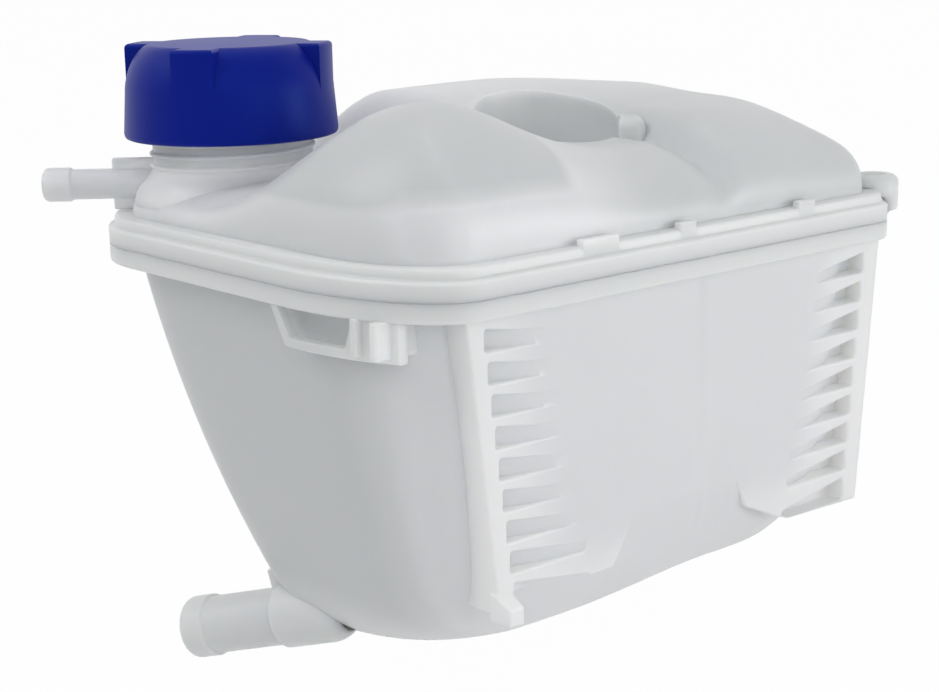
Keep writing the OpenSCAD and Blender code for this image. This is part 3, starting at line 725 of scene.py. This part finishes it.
def dome_ring(phi, skin_in):
    inset = DOME_INSET + skin_in + (DOME_RUN - skin_in) * (1 - math.cos(phi))
    p = outline(FLANGE_BOX, DOME_CORNERS, inset)
    rise = math.sin(phi) ** (DOME_CURVE - DOME_CURVE_RIGHT * fade(p[:, 0], *DOME_CURVE_X))
    return lift(p, DOME_Z + rise * crown(p) - skin_in * math.sin(phi))


def top_ring(share, skin_in):
    p = WELL_AT + (dome_ring(math.pi / 2, 0)[:, :2] - WELL_AT) * share
    return lift(p, DOME_Z + crown(p) - skin_in)


def dome_rings(skin_in):
    rings = [dome_ring(phi, skin_in) for phi in np.radians(np.arange(0, 91, DOME_STEP))]
    rings += [top_ring(share, skin_in) for share in np.linspace(0.96, 0.04, TOP_N)]
    return rings


def dome(name, skin_in, rim):
    centre = np.array([WELL_AT])
    high = DOME_Z + float(crown(centre)[0]) - skin_in
    return skin(name, (*WELL_AT, rim[0][0][2]), rim + dome_rings(skin_in), (*WELL_AT, high))


def dome_outer():
    band = rounded_levels(FLANGE_T, FLANGE_TOP, SEAM_R, FLANGE_ROUND_TOP)
    return dome("tank_upper", 0, flange_rings(band + FLANGE_STEP))


def well():
    cup = cylinder("cup", WELL_R + WALL, WELL_FLOOR - WALL, FAR, at(*WELL_AT))
    combine(cup, "INTERSECT", dome_outer())
    turn = at(*WELL_AT) @ turned(BLOCK_TURN, "Z")
    lug = block("lug", (WELL_R - WALL, -BLOCK_W / 2, WELL_FLOOR), (WELL_R + BLOCK_T, BLOCK_W / 2, BLOCK_TOP), turn,
                bevel=BLOCK_ROUND)
    return combine(cup, "UNION", lug)


def nipple_matrix():
    return at(*NECK_AT, NIPPLE_Z) @ turned(NIPPLE_TURN, "Z") @ turned(90, "Y")


def nipple():
    m = nipple_matrix()
    tube = revolve("nipple", beaded_profile(NIPPLE_LEN, NIPPLE_R, NIPPLE_BEAD_R, NIPPLE_BEAD_LEN),
                   m @ at(z=NIPPLE_FROM))
    web = block("web", (-NIPPLE_WEB_H, -NIPPLE_WEB_T, NIPPLE_FROM),
                (NIPPLE_WEB_H, NIPPLE_WEB_T, NIPPLE_FROM + NIPPLE_WEB_LEN), m, bevel=0.7)
    return combine(tube, "UNION", web)


def neck():
    foot = [(0, DOME_Z + NECK_FOOT[0][1])] + [(r, DOME_Z + h) for r, h in NECK_FOOT]
    lip = [(NECK_R - inset, NECK_TOP - drop) for inset, drop in NECK_LIP] + [(0, NECK_TOP)]
    return revolve("neck", foot + lip, at(*NECK_AT))


def thread():
    """The neck's thread, a rounded ridge that fades out at both ends."""
    turns = (THREAD_HIGH - THREAD_LOW) / THREAD_PITCH
    share = np.linspace(0, 1, int(turns * THREAD_N))
    angle = 2 * np.pi * turns * share
    ends = smooth(share * turns / THREAD_FADE) * smooth((1 - share) * turns / THREAD_FADE)
    out, up = THREAD_SECTION.T
    rings = []
    for a, s, f in zip(angle, share, ends):
        z = THREAD_LOW + s * (THREAD_HIGH - THREAD_LOW)
        r = NECK_R + np.where(out > 0, out * THREAD_H * f - THREAD_SUNK, out)
        x = NECK_AT[0] + r * math.cos(a)
        y = NECK_AT[1] + r * math.sin(a)
        rings.append(np.column_stack([x, y, z + up]))
    return skin("thread", rings[0].mean(axis=0), rings, rings[-1].mean(axis=0))


def screw_eye():
    x, y, z = EYE
    r, top_r = EYE_ROUND, EYE_ROUND_TOP
    a = np.radians(np.linspace(0, 90, 9))
    profile = [(0, z), (EYE_R - r, z), (EYE_R - 0.25, z + 0.25), (EYE_R, z + r)]
    profile += [(EYE_R - top_r + top_r * math.cos(b), z + EYE_H - top_r + top_r * math.sin(b)) for b in a]
    profile += [(0, z + EYE_H)]
    boss = revolve("eye", profile, at(x, y))
    arm = block("arm", (x - EYE_ARM, y - EYE_R + 1, FLANGE_T + 0.5), (x, y + EYE_R - 1, FLANGE_TOP + 0.5), bevel=0.8)
    return combine(boss, "UNION", arm)


def tabs():
    front, back = TAB_SPAN_Y
    return [block("tab", (x, front, FLANGE_TOP - OVER), (x + w, back, DOME_Z + TAB_RISE), bevel=0.6) for x, w in TABS]


def upper_moulding():
    body = dome_outer()
    combine(body, "UNION", nipple(), neck(), thread())
    inner_rim = [lift(dome_ring(0, WALL)[:, :2], FLANGE_T - OVER)]
    combine(body, "DIFFERENCE", dome("space", WALL, inner_rim))
    combine(body, "UNION", well(), screw_eye(), *tabs())
    a, b = WELL_R, WELL_FLOOR
    hole = [(0, b), (a - 1.5, b), (a - 0.45, b + 0.45), (a, b + 1.5), (a, FAR + 10), (0, FAR + 10)]
    combine(body, "DIFFERENCE", revolve("hole", hole, at(*WELL_AT)))
    z = FLANGE_T - 2
    wide = NECK_BORE_R + NECK_CHAMFER
    mouth = [(0, z), (NECK_BORE_R, z), (NECK_BORE_R, NECK_TOP - 0.6), (wide, NECK_TOP + 0.1), (wide, FAR + 10),
             (0, FAR + 10)]
    combine(body, "DIFFERENCE", revolve("mouth", mouth, at(*NECK_AT)))
    combine(body, "DIFFERENCE", cylinder("bore", NIPPLE_BORE_R, 10, FAR + 10, nipple_matrix()))
    top = EYE[2] + EYE_H
    wide = EYE_BORE_R + EYE_SINK
    screw = [(0, 0), (EYE_BORE_R, 0), (EYE_BORE_R, top - 1.2), (wide, top + 0.1), (wide, 60), (0, 60)]
    return combine(body, "DIFFERENCE", revolve("screw", screw, at(EYE[0], EYE[1])))


def cap():
    here = at(*NECK_AT, CAP_Z)
    a = np.radians(np.linspace(0, 90, 19)[1:])
    shoulder = [(CAP_TOP_R + (LOBE_R - CAP_TOP_R) * max(math.cos(b), 0) ** CAP_BULGE,
                 CAP_SHOULDER + (CAP_H - CAP_SHOULDER) * math.sin(b) ** CAP_BULGE) for b in a]
    rim = [(0, 0)] + [(CAP_R - inset, z) for inset, z in CAP_EDGE]
    body = revolve("cap_skin", rim + [(LOBE_R, CAP_SHOULDER)] + shoulder + [(0, CAP_H)], here, CAP_N)
    r = LOBE_ROUND
    c = np.radians(np.linspace(0, 90, 6))
    edge = [(LOBE_R - r + r * math.cos(b), CAP_H - r + r * math.sin(b)) for b in c]
    for k in range(LOBES):
        limit = revolve("limit", [(0, LOBE_LOW - OVER), (LOBE_R, LOBE_LOW - OVER)] + edge + [(0, CAP_H)], here, CAP_N)
        turn = here @ turned(LOBE_TURN + 90 * k, "Z")
        lobe = block("lobe", (4, -LOBE_W / 2, LOBE_LOW), (LOBE_R + 6, LOBE_W / 2, CAP_H), turn, bevel=1.3)
        combine(lobe, "INTERSECT", limit)
        combine(body, "UNION", lobe)
    combine(body, "DIFFERENCE", cylinder("core", CAP_RING_R, -OVER, CAP_CEILING, here))
    inner = CAP_RING_R + CAP_WALL
    space = revolve("space", [(0, -OVER), (CAP_R - CAP_WALL, -OVER), (LOBE_R - CAP_WALL, CAP_SHOULDER - 1),
                              (inner, CAP_SHOULDER + 2), (0, CAP_SHOULDER + 2)], here)
    combine(space, "DIFFERENCE", cylinder("ring", inner, -2, 40, here))
    combine(body, "DIFFERENCE", space)
    top = CAP_CEILING
    snap = cylinder("snap", SNAP_R + SNAP_T, top - SNAP_H, top + 0.05, here)
    hook = [(0, top - 4), (SNAP_R - 0.4, top - 4), (SNAP_R - 0.4, top - 2.6), (SNAP_R + 0.6, top - 2.2),
            (SNAP_R + 0.6, top + OVER), (0, top + OVER)]
    combine(snap, "DIFFERENCE", revolve("hook", hook, here))
    return combine(body, "UNION", snap)


def coil(name, r, wire_r, low, high, turns):
    """A coil of round wire round the neck's axis, with its ends flattened."""
    t = np.linspace(0, 1, int(turns * COIL_N) + 1)
    b = np.linspace(0, -2 * np.pi, WIRE_N, endpoint=False)
    rise = smooth((t - COIL_FLAT) / (1 - 2 * COIL_FLAT))
    z = NECK_TOP + low + wire_r + (high - low - 2 * wire_r) * rise
    rings = []
    for a, height in zip(2 * np.pi * turns * t, z):
        reach = r + wire_r * np.cos(b)
        rings.append(np.column_stack([NECK_AT[0] + reach * math.cos(a), NECK_AT[1] + reach * math.sin(a),
                                      height + wire_r * np.sin(b)]))
    return skin(name, rings[0].mean(axis=0), rings, rings[-1].mean(axis=0))


def finish_mesh(obj, sharp=32):
    """Smooth shading that stops at real edges."""
    mesh = obj.data
    bm = bmesh.new()
    bm.from_mesh(mesh)
    bmesh.ops.dissolve_degenerate(bm, dist=1e-7, edges=bm.edges)
    bm.to_mesh(mesh)
    bm.free()
    mesh.shade_smooth()
    mesh.set_sharp_from_angle(angle=math.radians(sharp))
    mod = obj.modifiers.new("normals", "WEIGHTED_NORMAL")
    mod.keep_sharp = True
    mod.weight = 60
    settle(obj)


# Materials
def node_with(nodes, kind, **sockets):
    """A node with some of its sockets set; an underscore stands for a space in a socket's name."""
    node = nodes.new(kind)
    for socket, value in sockets.items():
        node.inputs[socket.replace("_", " ")].default_value = value
    return node


def material(name, colour, roughness, grain, bump_height, spread=0.05, **sockets):
    """A moulded plastic, rubber or metal: cloudy colour, uneven gloss and a fine grain."""
    mat = bpy.data.materials.new(name)
    mat.use_nodes = True
    nodes, links = mat.node_tree.nodes, mat.node_tree.links
    shader = nodes["Principled BSDF"]
    for socket, value in sockets.items():
        shader.inputs[socket.replace("_", " ")].default_value = value
    coords = nodes.new("ShaderNodeTexCoord")
    cloud = node_with(nodes, "ShaderNodeTexNoise", Scale=CLOUD_SCALE, Detail=CLOUD_DETAIL)
    links.new(coords.outputs["Object"], cloud.inputs["Vector"])
    if colour:
        tint = nodes.new("ShaderNodeValToRGB")
        tint.color_ramp.elements[0].position = CLOUD_FROM
        tint.color_ramp.elements[1].position = CLOUD_TO
        tint.color_ramp.elements[0].color = (*[c * (1 - spread) for c in colour], 1)
        tint.color_ramp.elements[1].color = (*[min(1, c * (1 + spread)) for c in colour], 1)
        links.new(cloud.outputs["Fac"], tint.inputs["Fac"])
        links.new(tint.outputs["Color"], shader.inputs["Base Color"])
    gloss = node_with(nodes, "ShaderNodeMapRange", To_Min=roughness - GLOSS_LESS, To_Max=roughness + GLOSS_MORE)
    links.new(cloud.outputs["Fac"], gloss.inputs["Value"])
    links.new(gloss.outputs["Result"], shader.inputs["Roughness"])
    fine = node_with(nodes, "ShaderNodeTexNoise", Scale=grain, Detail=GRAIN_DETAIL)
    links.new(coords.outputs["Object"], fine.inputs["Vector"])
    relief = node_with(nodes, "ShaderNodeBump", Strength=GRAIN_STRENGTH, Distance=bump_height)
    links.new(fine.outputs["Fac"], relief.inputs["Height"])
    links.new(relief.outputs["Normal"], shader.inputs["Normal"])
    return mat


def tone_by_place(mat):
    """The tank's colour, with painted light and shade: painted floor light on the front plate, painted light on the
    dome's front left corner, painted shade on the left wall, the dome's front right, the neck and the nipple, a
    painted shadow line at the baffle, and a paler back of the dome.
    """
    nodes, links = mat.node_tree.nodes, mat.node_tree.links
    coords = nodes.new("ShaderNodeTexCoord")
    split = nodes.new("ShaderNodeSeparateXYZ")
    links.new(coords.outputs["Object"], split.inputs["Vector"])

    def band(axis, start, end):
        """0 to 1 between two places in millimetres along an axis."""
        k = "XYZ".index(axis)
        low, high = sorted((start, end))
        node = node_with(nodes, "ShaderNodeMapRange",
                         From_Min=(low - EYE[k]) * UNIT, From_Max=(high - EYE[k]) * UNIT,
                         To_Min=0.0 if start < end else 1.0, To_Max=1.0 if start < end else 0.0)
        node.interpolation_type = "SMOOTHSTEP"
        links.new(split.outputs[axis], node.inputs["Value"])
        return node.outputs["Result"]

    def combined(kind, a, b):
        node = nodes.new("ShaderNodeMath")
        node.operation = kind
        for socket, value in zip(node.inputs, (a, b)):
            if isinstance(value, float):
                socket.default_value = value
            else:
                links.new(value, socket)
        return node.outputs[0]

    tone = 0.5
    for bands, amount in TONES:
        share = band(*bands[0])
        for more in bands[1:]:
            share = combined("MULTIPLY", share, band(*more))
        tone = combined("ADD", combined("MULTIPLY", share, amount), tone)
    ramp = nodes.new("ShaderNodeValToRGB")
    ramp.color_ramp.elements[0].color = TONE_GREY
    ramp.color_ramp.elements[1].color = TONE_PALE
    ramp.color_ramp.elements.new(0.5).color = TONE_MIDDLE
    links.new(tone, ramp.inputs["Fac"])
    links.new(ramp.outputs["Color"], nodes["Principled BSDF"].inputs["Base Color"])


def paint(obj, mat):
    if not obj.material_slots:
        obj.data.materials.append(mat)
    for slot in obj.material_slots:
        slot.link = "OBJECT"
        slot.material = mat


# Camera, floor, backdrop and light
def photo_camera():
    camera = bpy.data.objects.new("camera", bpy.data.cameras.new("camera"))
    bpy.context.scene.collection.objects.link(camera)
    forward = Vector((math.sin(HEADING) * math.cos(PITCH), math.cos(HEADING) * math.cos(PITCH), -math.sin(PITCH)))
    level = Vector((math.cos(HEADING), -math.sin(HEADING), 0.0))
    above = level.cross(forward)
    right = level * math.cos(ROLL) + above * math.sin(ROLL)
    up = above * math.cos(ROLL) - level * math.sin(ROLL)
    camera.matrix_world = Matrix((
        (right.x, up.x, -forward.x, CAMERA_AT[0]),
        (right.y, up.y, -forward.y, CAMERA_AT[1]),
        (right.z, up.z, -forward.z, CAMERA_AT[2]),
        (0, 0, 0, 1)))
    camera.data.sensor_width = SENSOR_W
    camera.data.lens = FOCAL_PX * SENSOR_W / IMAGE_W
    camera.data.clip_start = 0.01
    camera.data.clip_end = 50.0
    bpy.context.scene.camera = camera


def seen_directly(nodes, links):
    """1 for rays from the camera and those that gloss or glass sends on, which show the plain background."""
    path = nodes.new("ShaderNodeLightPath")
    seen = nodes.new("ShaderNodeMath")
    seen.operation = "ADD"
    links.new(path.outputs["Is Camera Ray"], seen.inputs[0])
    links.new(path.outputs["Is Glossy Ray"], seen.inputs[1])
    also = nodes.new("ShaderNodeMath")
    also.operation = "ADD"
    also.use_clamp = True
    links.new(seen.outputs[0], also.inputs[0])
    links.new(path.outputs["Is Transmission Ray"], also.inputs[1])
    return also.outputs[0]


def mixed(nodes, links, share, first, second, output):
    """Puts two shaders on an output node, the second by a share."""
    mix = nodes.new("ShaderNodeMixShader")
    links.new(share, mix.inputs["Fac"])
    links.new(first.outputs[0], mix.inputs[1])
    links.new(second.outputs[0], mix.inputs[2])
    links.new(mix.outputs["Shader"], nodes[output].inputs["Surface"])


def white_floor():
    z = cad_bounds[0][2] - FLOOR_GAP
    size = FLOOR_SIZE
    mesh = bpy.data.meshes.new("floor")
    mesh.from_pydata([(-size, -size, z), (size, -size, z), (size, size, z), (-size, size, z)], [], [(0, 1, 2, 3)])
    floor = bpy.data.objects.new("floor", mesh)
    bpy.context.scene.collection.objects.link(floor)
    mat = bpy.data.materials.new("floor")
    mat.use_nodes = True
    nodes, links = mat.node_tree.nodes, mat.node_tree.links
    shader = nodes["Principled BSDF"]
    shader.inputs["Base Color"].default_value = FLOOR_COLOUR
    shader.inputs["Roughness"].default_value = 0.9
    shader.inputs["Specular IOR Level"].default_value = 0.0
    glow = node_with(nodes, "ShaderNodeEmission", Strength=1.0)
    share = nodes.new("ShaderNodeMath")
    share.operation = "MULTIPLY"
    share.inputs[1].default_value = FLOOR_SEEN
    links.new(seen_directly(nodes, links), share.inputs[0])
    mixed(nodes, links, share.outputs[0], shader, glow, "Material Output")
    mesh.materials.append(mat)


def world_light():
    world = bpy.data.worlds.new("studio")
    bpy.context.scene.world = world
    world.use_nodes = True
    nodes, links = world.node_tree.nodes, world.node_tree.links
    lit = nodes["Background"]
    lit.inputs["Color"].default_value = SKY_COLOUR
    lit.inputs["Strength"].default_value = SKY_STRENGTH
    seen_as = node_with(nodes, "ShaderNodeBackground", Color=(1, 1, 1, 1), Strength=1.0)
    mixed(nodes, links, seen_directly(nodes, links), lit, seen_as, "World Output")


def area_lamp(name, place_at, size, power):
    lamp = bpy.data.lights.new(name, "AREA")
    lamp.shape = "DISK"
    lamp.size = size
    lamp.energy = power
    obj = bpy.data.objects.new(name, lamp)
    bpy.context.scene.collection.objects.link(obj)
    obj.location = place_at
    obj.rotation_euler = (Vector(LAMPS_LOOK_AT) - Vector(place_at)).to_track_quat("-Z", "Y").to_euler()


milky = material("milky_plastic", None, 0.36, 900.0, 0.00006, Subsurface_Weight=1.0, Subsurface_Scale=0.005,
                 Subsurface_Radius=(1.0, 0.95, 0.85), IOR=1.49)
# Painted light and shade over the milky plastic's colour
tone_by_place(milky)
blue = material("blue_plastic", (0.004, 0.010, 0.23), 0.42, 700.0, 0.00008, spread=0.1, Subsurface_Weight=0.1,
                Subsurface_Scale=0.001, IOR=1.49, Specular_IOR_Level=0.25, Specular_Tint=(0.15, 0.4, 1.0, 1))
black = material("black_plastic", (0.02, 0.02, 0.022), 0.4, 600.0, 0.00008)
rubber = material("black_rubber", (0.012, 0.012, 0.013), 0.62, 900.0, 0.0001)
steel = material("drawn_steel", (0.55, 0.55, 0.54), 0.3, 1200.0, 0.00003, Metallic=1.0)
brass = material("turned_brass", (0.60, 0.43, 0.17), 0.3, 1200.0, 0.00003, Metallic=1.0)

upper = upper_moulding()
lower = lower_moulding()
cap_skin = cap()
for piece, node, body, slot, look in ((upper, "upper_shell", "tank", "tank_plastic", milky),
                                      (lower, "lower_shell", "tank", "tank_plastic", milky),
                                      (cap_skin, "cap_shell", "cap", "cap_plastic", blue)):
    finish_mesh(piece)
    paint(piece, look)
    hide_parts(node)
    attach(piece, body)

# The springs, drawn finer, each fixed to a body of the valve
for node, body, shape, joint, travel, held in (
        ("relief_spring", "insert", RELIEF_COIL, "relief_lift", RELIEF_LIFT, RELIEF_COIL[3] + COIL_GAP),
        ("vacuum_spring", "relief", VACUUM_COIL, "vacuum_drop", VACUUM_TRAVEL, VACUUM_COIL[2] - COIL_GAP)):
    spring = coil("fine_" + node, *shape)
    finish_mesh(spring)
    paint(spring, steel)
    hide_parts(node)
    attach(spring, body)
    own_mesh(spring)

# The valve's other nodes are shown as they are
looks = {"valve_plastic": black, "seal_rubber": rubber, "valve_steel": steel, "poppet_brass": brass}
for part in frame["record"]["subparts"]:
    if part["material_slot"] in looks:
        paint(frame["nodes"][part["node"]], looks[part["material_slot"]])

photo_camera()
white_floor()
world_light()
for lamp in LAMPS:
    area_lamp(*lamp)

bpy.context.scene.view_settings.view_transform = "Standard"
